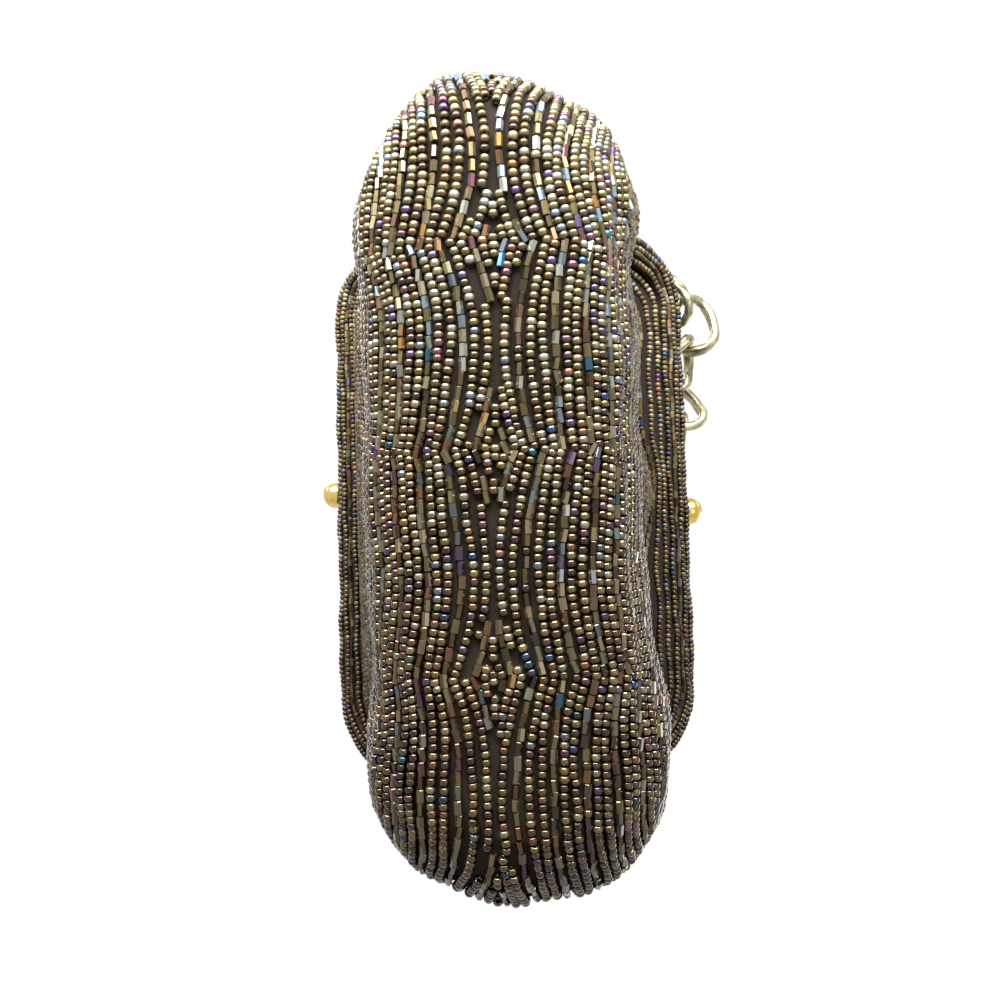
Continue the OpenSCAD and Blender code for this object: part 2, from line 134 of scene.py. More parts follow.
lamp("lamp_window", (-0.55, 0.03, -0.30), (0, 0, 0.02), 1.0, 38, (1, 0.97, 0.92), 0.32)
lamp("lamp_below", (0.05, -0.35, -0.50), (0, 0, 0.04), 0.3, 0.6)
lamp("lamp_front", (0.35, -0.75, 0.55), (0, 0, 0.05), 0.6, 2.6)
lamp("lamp_top", (-0.45, 0.25, 0.85), (0, 0, 0.05), 0.6, 4.0)

# === The bag's cloth ===
# Two flat panels of dark woven cloth, front and back, sewn together along the middle of the
# bottom and up both ends, and boxed at the corners so that the bag stands on a flat bottom.
# Above the rim they spread out to the opened frame and are crimped into it.
# heights of the rim and of the hinge line in mm, and how far each half of the frame is open
rim, hinge_z, opened = 62.0, 67.0, np.radians(52)
# half the bag's length and depth in mm, and the part of that length that is left at the rim
bag_long, bag_deep, rim_narrow = 83, 31.5, .934
# how long, deep and square the bag is from its bottom, 0, to its rim, 1
share = np.linspace(0, 1, 241)


def eased(values):
    return np.convolve(np.pad(values, 5, mode="edge"), np.ones(11) / 11, "valid")


levels = [0, .048, .161, .355, .645, .887, 1]
length_at = eased(bag_long * np.interp(share, levels,
                                       [.795, .892, .97, 1, .988, .952, rim_narrow]))
depth_at = eased(bag_deep * np.interp(share, levels, [.444, .698, .905, 1, 1, 1.063, 1.127]))
square_at = eased(np.interp(share, [0, .161, .5, .77, 1], [3.5, 4.1, 4.1, 3, 2]))


def wall_at(k, turn, inset, lift=None):
    """points of the bag's wall, k up from bottom to rim, turn round the back half"""
    lift = inset if lift is None else lift
    e = 2 / np.interp(k, share, square_at)
    c, s = np.cos(turn), np.maximum(0, np.sin(turn))
    x = (np.interp(k, share, length_at) - inset) * np.sign(c) * np.abs(c) ** e
    y = (np.interp(k, share, depth_at) - inset) * s ** e
    return np.stack([x, y, lift + (rim - lift) * k + 0 * x], -1)


def step_up(v):
    v = np.clip(v, 0, 1)
    return v * v * (3 - 2 * v)


def settle(p):
    """how the soft bag sags, leans and bulges: points in mm, moved by a few mm"""
    x, y, z = p[..., 0], p[..., 1], p[..., 2]
    soft = 1 - step_up((z - 42) / 18)
    off = step_up(np.abs(y) / 12)
    wide = step_up((np.abs(y) - 6) / 20)
    # fuller towards both ends, more on the back
    dy = np.where(y > 0, 2.6, 0.6) * np.exp(-((x + 62) / 15) ** 2) * wide
    dy = dy + np.where(y > 0, 3.4, -1.7) * np.exp(-((x - 65) / 17) ** 2) * wide
    dy = dy + np.sign(y) * off * (0.35 * np.sin(x / 8.5 + 1.1 * np.sign(y))
                                  + 0.3 * np.sin(x / 4.1 + z / 9))
    # the front wall is drawn in above the bottom
    drawn = step_up((x + 60) / 16) * (1 - step_up((x - 24) / 24))
    dy = dy + np.where(y < 0, 4.3, 0) * drawn * off * step_up(z / 11) * (
        1 - step_up((z - 36) / 20))
    # the left end is pushed out in the middle, the right end is lumpy
    end = step_up((np.abs(x) - 58) / 18)
    dx = np.where(x < 0, 1.9 - 5.6 * np.exp(-((y - 5) / 12) ** 2)
                  - 1.7 * np.exp(-((y - 19) / 6) ** 2) + 1.7 * np.exp(-((y + 19) / 6) ** 2)
                  + 0.6 * np.sin(y / 2.6) + 0.3 * np.sin(z / 5 + y / 4),
                  0.3 - 2.5 * step_up((np.abs(y - 1.5) - 8) / 8)
                  + 0.7 * np.sin(y / 2.7 + 0.5) + 0.3 * np.sin(z / 6.5 + y / 9))
    dz = step_up(z / 6) * 0.3 * np.sin(x / 11 + y / 7)
    # above that the slack front hangs in, then runs out nearly level to the frame, less so
    # where the chain lies against it
    dents = step_up((x + 70) / 12) * (1 - step_up((x - 58) / 12)) * (
        1 - 0.42 * np.exp(-((x + 2) / 12) ** 2))
    slack = np.where(y < 0, 8.0, 0) * dents * off * step_up((z - 30) / 26) * (
        1 - step_up((z - 86) / 9))
    return p + np.stack([dx * end * soft, dy * soft + slack, dz * soft], -1)


# the frame's outline: d is the way round from the right foot, n outward, w off the closed plane,
# and u the height over the hinge line when the frame is shut
corner_r, leg_slope, bar_u, foot_u, rail_d, shut_gap = 18.0, np.radians(5), 58.0, 10.0, 4.0, 0.15
hinge_x = bag_long * rim_narrow - 2
corner_u = bar_u - corner_r
leg_end = corner_r * np.sin(leg_slope) + corner_u
corner_x = hinge_x - leg_end * np.tan(leg_slope) - corner_r * np.cos(leg_slope)
leg_len = (leg_end - foot_u) / np.cos(leg_slope)
arc_len = corner_r * (np.pi / 2 - leg_slope)
path_len = 2 * leg_len + 2 * arc_len + 2 * corner_x


def outline(d, n):
    """x and u of the frame's outline at d, n outside it"""
    d, n = np.broadcast_arrays(np.asarray(d, float), np.asarray(n, float))
    m = np.where(d > path_len / 2, path_len - d, d)
    r, q = corner_r + n, leg_len - m
    t = leg_slope + np.clip((m - leg_len) / corner_r, 0, np.pi / 2 - leg_slope)
    x = corner_x + r * np.cos(t) + np.where(q > 0, q * np.sin(leg_slope), 0)
    u = corner_u + r * np.sin(t) - np.where(q > 0, q * np.cos(leg_slope), 0)
    flat = m > leg_len + arc_len
    x = np.where(flat, corner_x - (m - leg_len - arc_len), x)
    u = np.where(flat, bar_u + n, u)
    return np.where(d > path_len / 2, -x, x), u


def on_back(x, w, u):
    """a point of the opened back half of the frame; the front half mirrors it in Y"""
    so, co = np.sin(opened), np.cos(opened)
    return np.stack(np.broadcast_arrays(x, u * so + w * co, hinge_z + u * co - w * so), -1)


spread_from = 24  # the spread leaves the rim this many degrees round from either end


def spread_at(k, turn, inset, w, n):
    """the cloth between the rim (k = 0) and the frame (k = 1)"""
    p = wall_at(np.ones_like(k), turn, inset, 0)
    x, u = outline(path_len * (np.degrees(turn) - spread_from) / (180 - 2 * spread_from), n)
    q = on_back(x, w, u)
    k = k[..., None]
    return p * (1 - k) + q * k + np.array([0, 1, 0]) * 1.5 * np.sin(np.pi * k)


def grid_faces(rows, cols, rows_meet=False, cols_meet=False):
    """faces between the points of a grid whose last row or column may meet its first"""
    i, j = np.meshgrid(np.arange(rows if rows_meet else rows - 1),
                       np.arange(cols if cols_meet else cols - 1), indexing="ij")
    i2, j2 = (i + 1) % rows, (j + 1) % cols
    corners = [i * cols + j, i * cols + j2, i2 * cols + j2, i2 * cols + j]
    return np.stack(corners, -1).reshape(-1, 4)


def make(name, points, faces, material, smooth=True, body=None, marks=None, flip=False):
    """a mesh piece from points in mm and four-cornered faces"""
    faces = np.asarray(faces)[:, ::-1] if flip else np.asarray(faces)
    mesh = bpy.data.meshes.new(name)
    mesh.vertices.add(len(points))
    mesh.vertices.foreach_set("co", (np.asarray(points, np.float32) * 0.001).ravel())
    mesh.loops.add(faces.size)
    mesh.loops.foreach_set("vertex_index", faces.astype(np.int32).ravel())
    mesh.polygons.add(len(faces))
    mesh.polygons.foreach_set("loop_start", np.arange(0, faces.size, 4, dtype=np.int32))
    mesh.polygons.foreach_set("use_smooth", np.full(len(faces), smooth))
    mesh.update(calc_edges=True)
    for key, values in (marks or {}).items():
        mesh.attributes.new(key, "FLOAT", "POINT").data.foreach_set(
            "value", np.asarray(values, np.float32))
    mesh.materials.append(material)
    o = bpy.data.objects.new(name, mesh)
    bpy.context.scene.collection.objects.link(o)
    if body:
        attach(o, body)
    return o


def two_sided(outer, inner):
    """points and faces of a closed sheet between two grids of the same size"""
    rows, cols = outer.shape[:2]
    n = rows * cols
    a = grid_faces(rows, cols)
    top, low = np.arange(cols - 1), (rows - 1) * cols + np.arange(cols - 1)
    lef, rig = np.arange(rows - 1) * cols, np.arange(rows - 1) * cols + cols - 1
    faces = np.concatenate([
        a, a[:, ::-1] + n,
        np.stack([top + 1, top, top + n, top + 1 + n], -1),
        np.stack([low, low + 1, low + 1 + n, low + n], -1),
        np.stack([lef, lef + cols, lef + cols + n, lef + n], -1),
        np.stack([rig + cols, rig, rig + n, rig + cols + n], -1)])
    return np.concatenate([outer.reshape(-1, 3), inner.reshape(-1, 3)]), faces


def join_meshes(parts):
    """one mesh's points and faces from several"""
    points, faces, n = [], [], 0
    for p, f in parts:
        points.append(p)
        faces.append(f + n)
        n += len(p)
    return np.concatenate(points), np.concatenate(faces)


def mirror(p, side):
    return p * np.array([1, side, 1])


def follow(piece):
    """the piece's place is baked into its points"""
    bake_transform(piece)


def new_finish(name, rough=0.5):
    """a material, its nodes, its shader, and the place on the piece that textures follow"""
    m = bpy.data.materials.new(name)
    m.use_nodes = True
    nt = m.node_tree
    skin = nt.nodes["Principled BSDF"]
    skin.inputs["Roughness"].default_value = rough
    return m, nt, skin, nt.nodes.new("ShaderNodeTexCoord")


def raise_up(nt, skin, height, strength, distance):
    """a fine relief that follows a texture's height"""
    rise = nt.nodes.new("ShaderNodeBump")
    rise.inputs["Strength"].default_value = strength
    rise.inputs["Distance"].default_value = distance
    nt.links.new(height, rise.inputs["Height"])
    nt.links.new(rise.outputs["Normal"], skin.inputs["Normal"])


woven, nt, skin, where = new_finish("dark_woven_cloth", 0.85)
skin.inputs["Specular IOR Level"].default_value = 0.15
weave = nt.nodes.new("ShaderNodeTexBrick")
weave.inputs["Scale"].default_value = 2600
weave.inputs["Mortar Size"].default_value = 0.03
weave.inputs["Color1"].default_value = (0.011, 0.008, 0.005, 1)
weave.inputs["Color2"].default_value = (0.019, 0.014, 0.009, 1)
weave.inputs["Mortar"].default_value = (0.005, 0.004, 0.003, 1)
nt.links.new(where.outputs["Object"], weave.inputs["Vector"])
nt.links.new(weave.outputs["Color"], skin.inputs["Base Color"])
raise_up(nt, skin, weave.outputs["Fac"], 0.5, 0.0002)


def bag_sheet(inset, lift, width=150):
    """one half of the bag: the bottom from its middle seam, then the wall"""
    turn = np.linspace(0, np.pi, width)
    edge = wall_at(np.zeros(width), turn, inset, lift)
    floor_rows = np.stack([edge * np.array([0.985 + 0.015 * t, t, 1])
                           for t in np.linspace(0, 0.97, 12)])
    k, t = np.meshgrid(np.linspace(0, 1, 46) ** 1.25, turn, indexing="ij")
    return np.concatenate([floor_rows, wall_at(k, t, inset, lift)])


def spread_sheet(inset, w, n, ends, width=150):
    """the spread cloth, then its edge turned into the frame at each (n, w) of ends"""
    turn = np.radians(np.linspace(spread_from, 180 - spread_from, width))
    k, t = np.meshgrid(np.linspace(0, 1, 18), turn, indexing="ij")
    rows = [spread_at(k, t, inset, w, n)]
    for end_n, end_w in ends:
        x, u = outline(path_len * np.linspace(0, 1, width), end_n)
        rows.append(on_back(x, end_w, u)[None])
    return np.concatenate(rows)


w_mid = shut_gap + rail_d / 2  # the middle of the rail's channel
for side, name in ((1, "back"), (-1, "front")):
    wall = two_sided(settle(mirror(bag_sheet(1.55, 1.4), side)),
                     settle(mirror(bag_sheet(2.2, 2.2), side)))
    turned_in = [(-5.9, 4.6), (-4.8, w_mid + 1), (-3, w_mid + 1)]
    turned_back = [(-7, w_mid - .7), (-5.5, w_mid - .8), (-3, w_mid - .8)]
    spread = two_sided(
        settle(mirror(spread_sheet(1.35, 5.0, -6.4, turned_in), side)),
        settle(mirror(spread_sheet(2.2, w_mid - .5, -8.5, turned_back), side)))
    cloth = make("cloth_" + name, *join_meshes([wall, spread]), woven, flip=side > 0)
    follow(cloth)
    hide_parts("shell_" + name, name + "_panel")

# === The beads on the bag ===
# Cut glass with a metal lustre, strung on threads that run along the bag and sewn down every
# few beads: two rows of round seed beads, then one row of six-sided bugle beads. The rows swing
# in to the bottom seam four times along the bag, and the seam cuts them off there.
# mm from row to row, a seed bead's length, and how far the threads lie inside the bag's outside
row_gap, seed_long, thread_in = 1.93, 1.5, 0.95
rng = np.random.default_rng(7)
# a table of the wall's places, by x along the bag and by s round from the bottom seam
x_step, s_step = 0.2, 0.4
table_x = np.arange(-82.4, 82.41, x_step)
table_s = np.arange(0, 118, s_step)
across = np.full((len(table_x), len(table_s)), np.nan)
height = across.copy()
for i, x in enumerate(table_x):
    reach, deep = length_at - thread_in, depth_at - thread_in
    hit = np.abs(x) < reach
    if hit.sum() < 3:
        continue
    k = share[hit]
    y = deep[hit] * (1 - (abs(x) / reach[hit]) ** square_at[hit]) ** (1 / square_at[hit])
    z = thread_in + (rim - thread_in) * k
    if hit[0]:
        y, z = np.append(np.linspace(0, y[0], 9)[:-1], y), np.append(np.full(8, thread_in), z)
    else:
        y, z = np.append(0, y), np.append(z[0] - 0.1, z)
    if not hit[-1]:
        y, z = np.append(y, 0), np.append(z, z[-1] + 0.1)
    run = np.append(0, np.cumsum(np.hypot(np.diff(y), np.diff(z))))
    on = table_s < run[-1]
    across[i, on] = np.interp(table_s[on], run, y)
    height[i, on] = np.interp(table_s[on], run, z)


def surface(x, far):
    """a point at length x along the bag and far round from the bottom seam, either way"""
    i = np.clip((x - table_x[0]) / x_step, 0, len(table_x) - 1.001)
    j = np.clip(np.abs(far) / s_step, 0, len(table_s) - 1.001)
    a, b = i.astype(int), j.astype(int)
    f, g = i - a, j - b
    y, z = ((t[a, b] * (1 - f) * (1 - g) + t[a + 1, b] * f * (1 - g)
             + t[a, b + 1] * (1 - f) * g + t[a + 1, b + 1] * f * g) for t in (across, height))
    return np.stack([x, y * np.sign(far), z], -1)


def outward(p):
    """the way out of the bag's wall at its points p"""
    wall_high = 61
    k = np.clip((p[..., 2] - thread_in) / wall_high, 0, 1)
    q = np.interp(k, share, square_at)
    le, de = np.interp(k, share, length_at), np.interp(k, share, depth_at)
    dl = np.interp(k, share, np.gradient(length_at, share))
    dd = np.interp(k, share, np.gradient(depth_at, share))
    ax, ay = np.clip(np.abs(p[..., 0]) / le, 0, 1), np.clip(np.abs(p[..., 1]) / de, 0, 1)
    g = np.stack([ax ** (q - 1) / le * np.sign(p[..., 0]),
                  ay ** (q - 1) / de * np.sign(p[..., 1]),
                  -(ax ** q / le * dl + ay ** q / de * dd) / wall_high], -1)
    flat = (k < 0.004)[..., None]
    g = np.where(flat, np.array([0, 0, -1.0]), g)
    return g / np.maximum(1e-9, np.linalg.norm(g, axis=-1, keepdims=True))


class Strings:
    """the beads placed so far, with their way along the thread and out of the cloth"""
    def __init__(self, beside=None):
        # cells holds the beads' ends by their place, in cubes of 2 mm
        self.spots, self.kinds = [], []
        self.cells = beside.cells if beside else {}

    def free(self, p, far):
        """True if no bead lies nearer to p than the root of far"""
        c = tuple(int(v // 2) for v in p)
        for dx in (-1, 0, 1):
            for dy in (-1, 0, 1):
                for dz in (-1, 0, 1):
                    for q in self.cells.get((c[0] + dx, c[1] + dy, c[2] + dz), ()):
                        if (p[0] - q[0]) ** 2 + (p[1] - q[1]) ** 2 + (p[2] - q[2]) ** 2 < far:
                            return False
        return True

    def add(self, line, normals, kind, scale=1.0, close=1.36):
        """strings beads along a line of points: kind 0 is seed beads, 1 is bugles"""
        kind = np.broadcast_to(kind, len(line))
        if len(line) < 4:
            return
        step = np.linalg.norm(np.diff(line, axis=0), axis=1)
        run = np.append(0, np.cumsum(step))
        at, new = rng.uniform(0, 0.8), []
        while True:
            bugle = kind[min(len(kind) - 1, int(np.searchsorted(run, at + 0.8)))] == 1
            # here and there a short bead, kind 2, stands in a row of either sort
            if bugle and rng.random() > 0.04:
                long = rng.uniform(2.2, 2.8) * scale
                what = 1
            elif bugle or rng.random() < 0.015:
                long, what = 1.55 * scale, 2
            else:
                long, what = seed_long * scale * rng.uniform(0.93, 1.07), 0
            if at + long > run[-1]:
                break
            m = at + long / 2
            p = np.array([np.interp(m, run, line[:, c]) for c in range(3)])
            a = np.array([np.interp(m - 0.6, run, line[:, c]) for c in range(3)])
            b = np.array([np.interp(m + 0.6, run, line[:, c]) for c in range(3)])
            n = np.array([np.interp(m, run, normals[:, c]) for c in range(3)])
            t = (b - a) / max(1e-6, np.linalg.norm(b - a))
            ends = [p] if what != 1 else [p - t * 0.8, p, p + t * 0.8]
            if all(self.free(e, (close * scale) ** 2) for e in ends):
                new.append((p, t, n, long, what, scale, ends))
            at += long + rng.uniform(0.02, 0.09) * scale
        for p, t, n, long, what, size, ends in new:
            self.spots.append((p, t, n, long, size))
            self.kinds.append(what)
            for e in ends:
                self.cells.setdefault(tuple(int(v // 2) for v in e), []).append(tuple(e))


# where the rows' four swings meet, and which row of three is bugles in each, back and front
swags = np.array([-80, -46.4, -6.4, 35.8, 79])
bugle_of = {1: [1, 2, 2, 2], -1: [0, 1, 2, 1]}


def seam(x):
    """the line that the rows run beside, a little aslant to the bag"""
    return 3.8 + 0.030 * x + 0.35 * np.sin(x / 15)


def row_at(x, n):
    """how far row n lies from the seam at x, as it swings in, how far in, and in which swing"""
    deep = np.interp(n, [0, 1, 2, 3, 4, 5, 6, 8], [1, 2.6, 3.6, 4.45, 3.8, 3.25, 2.9, 2.5])
    lo = np.clip(np.searchsorted(swags, x) - 1, 0, 3)
    a, b = swags[lo], swags[lo + 1]
    bow = np.sin(np.pi * np.clip((x - a) / (b - a), 0, 1)) ** 0.85
    return np.array([-0.1, 0.15, -0.25, -0.25])[lo] + n * row_gap - bow * deep, bow, lo


def runs(good):
    """the unbroken stretches of a line where good is True"""
    for piece in np.split(np.arange(len(good)), np.where(~good)[0]):
        yield piece[good[piece]]


rows_round, shortest, end_turn = 62, 8, 0.62
bag_beads = {}
for side in (1, -1):
    beads = Strings(bag_beads.get(1))
    x = np.arange(-82.2, 82.21, 0.25)
    for n in range(rows_round):
        s, bow, swag = row_at(x, n)
        s = s + 0.14 * np.sin(x / 6 + n * 1.7) + 0.08 * np.sin(x / 2.3 + n * 2.9)
        p = surface(x, seam(x) + side * s)
        kind = (n % 3 == np.array(bugle_of[side])[swag]).astype(int)
        for piece in runs((s > 0.85) & np.isfinite(p).all(1)):
            piece = piece[p[piece, 2] < rim - 1.2]
            if len(piece) > shortest:
                beads.add(p[piece], outward(p[piece]), kind[piece])
    # with both sides done, short strings close the gaps in the seam near the swings' ends
    p = surface(x, seam(x))
    for piece in runs((row_at(x, 0)[1] < 0.72) & np.isfinite(p).all(1) & (side < 0)):
        if len(piece) > shortest:
            beads.add(p[piece], outward(p[piece]), 0, close=1.5)
    # the two ends are filled with rows that go round to the side seam
    for i, k in enumerate(np.arange(0.24, 0.985, row_gap / rim)):
        for lo, hi in ((0.0, end_turn), (np.pi - end_turn, np.pi)):
            t = np.linspace(lo, hi, 160)
            line = mirror(wall_at(np.full(160, k), t, thread_in), side)
            beads.add(line, outward(line), 1 if i % 3 == 1 else 0, close=1.42)
    bag_beads[side] = beads

# the spread above the rim: rows run beside the frame, and stop where they meet the rim
spread_rows, spread_gap, small = 20, 1.95, 0.84
spread_beads = {}
for side in (1, -1):
    beads = spread_beads[side] = Strings(bag_beads[side])
    turn = np.radians(np.linspace(spread_from + .2, 180 - spread_from - .2, 420))
    k, t = np.meshgrid(np.linspace(1, 0, 60), turn, indexing="ij")
    face_pts = mirror(spread_at(k, t, 0.55, 5.9, -6.9), side)
    run = np.concatenate([np.zeros((1, len(turn))), np.cumsum(
        np.linalg.norm(np.diff(face_pts, axis=0), axis=2), axis=0)])
    lead = np.gradient(face_pts, axis=1)
    down = np.gradient(face_pts, axis=0)
    out_way = np.cross(lead, down) * side
    out_way /= np.linalg.norm(out_way, axis=2, keepdims=True)
    for m in range(spread_rows):
        wave = 1.3 * np.abs(np.sin(np.pi * (face_pts[0, :, 0] + 6.4) / 41))
        d = 0.6 + m * spread_gap + wave * min(1, m / 3) + 0.2 * np.sin(face_pts[0, :, 0] / 3 + m)
        line, normal = [], []
        for c in range(len(turn)):
            if d[c] < run[-1, c] - 0.4:
                line.append([np.interp(d[c], run[:, c], face_pts[:, c, a]) for a in range(3)])
                normal.append([np.interp(d[c], run[:, c], out_way[:, c, a]) for a in range(3)])
        beads.add(np.array(line), np.array(normal), 1 if m % 3 == 2 else 0, small)


def glass(name, tones, rough, metal=0.8, coat=0.45):
    """lustred glass: the mark tone picks one of the colours of the mix"""
    m, nt, skin, where = new_finish(name)
    skin.inputs["Metallic"].default_value = metal
    skin.inputs["Coat Weight"].default_value = coat
    skin.inputs["Coat Roughness"].default_value = 0.08
    pick = nt.nodes.new("ShaderNodeAttribute")
    pick.attribute_name = "tone"
    ramp = nt.nodes.new("ShaderNodeValToRGB")
    ramp.color_ramp.interpolation = "CONSTANT"
    total, at = sum(t[0] for t in tones), 0.0
    stops = ramp.color_ramp.elements
    while len(stops) < len(tones):
        stops.new(0.5)
    for stop, (share_of, colour) in zip(stops, tones):
        stop.position = at / total
        stop.color = tuple((c / 255) ** 2.2 for c in colour) + (1,)
        at += share_of
    shade = nt.nodes.new("ShaderNodeAttribute")
    shade.attribute_name = "shade"
    deep = nt.nodes.new("ShaderNodeVectorMath")
    deep.operation = "SCALE"
    # painted light and shade: the colour is multiplied pale at the left end of the bag and dark
    # brown at the right end, as the light falls off along it; the lustre is also rougher at the
    # left end
    left_end, right_end = -0.083, 0.083
    split = nt.nodes.new("ShaderNodeSeparateXYZ")
    along = nt.nodes.new("ShaderNodeMapRange")
    along.inputs["From Min"].default_value = left_end
    along.inputs["From Max"].default_value = right_end
    # painted light falloff: pale near the lamp at the left end, dark brown at the far right end
    painted_falloff_ramp = nt.nodes.new("ShaderNodeValToRGB")
    painted_falloff_ramp.color_ramp.elements[0].color = (0.95, 0.97, 0.97, 1)
    painted_falloff_ramp.color_ramp.elements[1].color = (0.24, 0.175, 0.09, 1)
    painted_falloff_ramp.color_ramp.elements.new(0.42).color = (0.52, 0.475, 0.39, 1)
    painted_falloff_mix = nt.nodes.new("ShaderNodeVectorMath")
    painted_falloff_mix.operation = "MULTIPLY"
    worn = nt.nodes.new("ShaderNodeMapRange")
    worn.inputs["From Min"].default_value, worn.inputs["From Max"].default_value = left_end, 0.02
    worn.inputs["To Min"].default_value, worn.inputs["To Max"].default_value = 0.32, -0.01
    both = nt.nodes.new("ShaderNodeMath")
    nt.links.new(where.outputs["Object"], split.inputs[0])
    nt.links.new(split.outputs["X"], along.inputs["Value"])
    nt.links.new(split.outputs["X"], worn.inputs["Value"])
    nt.links.new(along.outputs[0], painted_falloff_ramp.inputs["Fac"])
    nt.links.new(deep.outputs[0], painted_falloff_mix.inputs[0])
    nt.links.new(painted_falloff_ramp.outputs["Color"], painted_falloff_mix.inputs[1])
    haze = nt.nodes.new("ShaderNodeTexNoise")
    haze.inputs["Scale"].default_value = 700
    span = nt.nodes.new("ShaderNodeMapRange")
    span.inputs["To Min"].default_value = rough - 0.06
    span.inputs["To Max"].default_value = rough + 0.08
    nt.links.new(pick.outputs["Fac"], ramp.inputs["Fac"])
    nt.links.new(ramp.outputs["Color"], deep.inputs[0])
    nt.links.new(shade.outputs["Fac"], deep.inputs["Scale"])
    nt.links.new(painted_falloff_mix.outputs[0], skin.inputs["Base Color"])
    nt.links.new(where.outputs["Object"], haze.inputs["Vector"])
    nt.links.new(haze.outputs["Fac"], span.inputs["Value"])
    nt.links.new(span.outputs[0], both.inputs[0])
    nt.links.new(worn.outputs[0], both.inputs[1])
    nt.links.new(both.outputs[0], skin.inputs["Roughness"])
    return m


seed_tones = [
    (30, (112, 103, 72)), (20, (94, 78, 52)), (11, (66, 52, 35)), (14, (142, 133, 104)),
    (8, (150, 149, 138)), (4, (86, 72, 106)), (.6, (52, 76, 126)), (.4, (50, 98, 116)),
    (6, (124, 94, 76)), (3, (112, 124, 138)), (1, (136, 104, 60)), (3, (106, 74, 88))]
seed_glass = glass("lustre_seed_glass", seed_tones, 0.19)
rubbed_glass = glass("rubbed_seed_glass", seed_tones, 0.42, 0.7, 0.15)
bugle_glass = glass("lustre_bugle_glass", [
    (28, (114, 104, 74)), (15, (78, 65, 44)), (18, (142, 136, 112)), (12, (154, 158, 154)),
    (7, (118, 132, 146)), (6, (126, 94, 74)), (2, (146, 114, 66)), (3, (88, 72, 108)),
    (1, (56, 100, 132)), (3, (106, 74, 82))], 0.15)


def bead_shape(profile, sides):
    """a bead with its hole, from the (radius, along) points of its section"""
    a = 2 * np.pi * np.arange(sides) / sides
    r, x = np.array(profile).T
    pts = np.stack([np.broadcast_to(x[:, None], (len(r), sides)),
                    r[:, None] * np.cos(a), r[:, None] * np.sin(a)], -1).reshape(-1, 3)
    return pts, grid_faces(len(r), sides, True, True)


seed_form = bead_shape([(.3, -.60), (.66, -.74), (.94, -.50), (1.03, 0), (.94, .50),
                        (.66, .74), (.3, .60)], 12)
seed_form_long = 1.54
bugle_form = bead_shape([(.3, -.5), (.66, -.5), (.78, -.46), (.78, .46), (.66, .5), (.3, .5)], 6)


def set_beads(name, strings, kind, settle_them=True, rides=None, limit=1150, painted_shade_and_rub=1.0):
    """makes the seed beads (kind 0) or bugles (kind 1) of the strings, limit of them a piece"""
    form, material = (seed_form, seed_glass) if kind != 1 else (bugle_form, bugle_glass)
    # a value below 1 picks the rougher rubbed glass and also darkens the beads' colour by that
    # factor as painted shade
    material = rubbed_glass if painted_shade_and_rub < 1 else material
    spots = [s for s, k in zip(strings.spots, strings.kinds) if (k == 1) == (kind == 1)]
    kinds = [k for k in strings.kinds if (k == 1) == (kind == 1)]
    made = []
    for part in range(0, len(spots), limit):
        some, what = spots[part:part + limit], np.array(kinds[part:part + limit])
        p, t, n = (np.array([s[i] for s in some]) for i in range(3))
        long, size = np.array([s[3] for s in some]), np.array([s[4] for s in some])
        if settle_them:
            p = settle(p)
        t = t + rng.normal(0, 0.07, t.shape)
        t /= np.linalg.norm(t, axis=1, keepdims=True)
        n = n - t * (n * t).sum(1, keepdims=True)
        n /= np.maximum(1e-6, np.linalg.norm(n, axis=1, keepdims=True))
        if kind == 1:
            roll = rng.uniform(0, np.pi / 3, len(p))[:, None]
            n = n * np.cos(roll) + np.cross(t, n) * np.sin(roll)
        b = np.cross(n, t)
        p = p + rng.normal(0, 0.05, p.shape)
        shape, faces = form
        along = long / (seed_form_long if kind != 1 else 1.0)
        fat = size * rng.normal(1, 0.03, len(p)) * (1 if kind == 1 else np.where(what == 2, .95, 1))
        pts = (p[:, None] + shape[None, :, :1] * along[:, None, None] * t[:, None]
               + shape[None, :, 1:2] * fat[:, None, None] * n[:, None]
               + shape[None, :, 2:3] * fat[:, None, None] * b[:, None])
        all_faces = (faces[None] + (np.arange(len(p)) * len(shape))[:, None, None]).reshape(-1, 4)
        tone = np.repeat(rng.random(len(p)), len(shape))
        # each bead's brightness differs at random, then is darkened by the painted shade factor
        shade = np.repeat(np.clip(rng.normal(0.86, 0.2, len(p)), 0.35, 1.25), len(shape)) * painted_shade_and_rub
        o = make(f"{name}_{part // limit}", pts.reshape(-1, 3), all_faces, material,
                 smooth=kind != 1, marks={"tone": tone, "shade": shade}, body=rides)
        if not rides:
            follow(o)
        made.append(o)
    return made


for side, name in ((1, "back"), (-1, "front")):
    sewn_on = set_beads("seed_beads_" + name, bag_beads[side], 0)
    sewn_on += set_beads("bugle_beads_" + name, bag_beads[side], 1)
    # the spread's beads are rubbed duller and darkened a little with painted shade
    sewn_on += set_beads("spread_seed_beads_" + name, spread_beads[side], 0, painted_shade_and_rub=0.92)
    sewn_on += set_beads("spread_bugle_beads_" + name, spread_beads[side], 1, painted_shade_and_rub=0.92)

# === The frame's beaded cover ===
# A strip of the same beaded cloth, folded over the outside of each metal bar and glued, with
# seven rows of small beads along it, two of them bugles, and a bare groove between the three
# rows on the bar's face and the four that go round its edge.
cover_path = np.linspace(0, path_len, 420)
cover_n = np.array([-6.0, -6.3, -5.5, -2.0, 0.5, 1.4, 1.9, 1.9, 1.6, .4, .2, -0.1, -3, -5.7])
cover_w = np.array([4.35, 5.0, 5.7, 6.0, 6.0, 5.7, 4.6, .8, .2, .15, .6, 4.3, 4.33, 4.32])


def padded(x, n, w, side):
    """the cover's n and w at x: the back one is thin at the left end, full at the right end"""
    f = np.where(side > 0, 0.6 + 0.8 * np.clip((x + 54) / 108, 0, 1), 1.0)
    return np.where(n > 0, n * f, n), np.where(w > 4.4, 4.4 + (w - 4.4) * f, w)


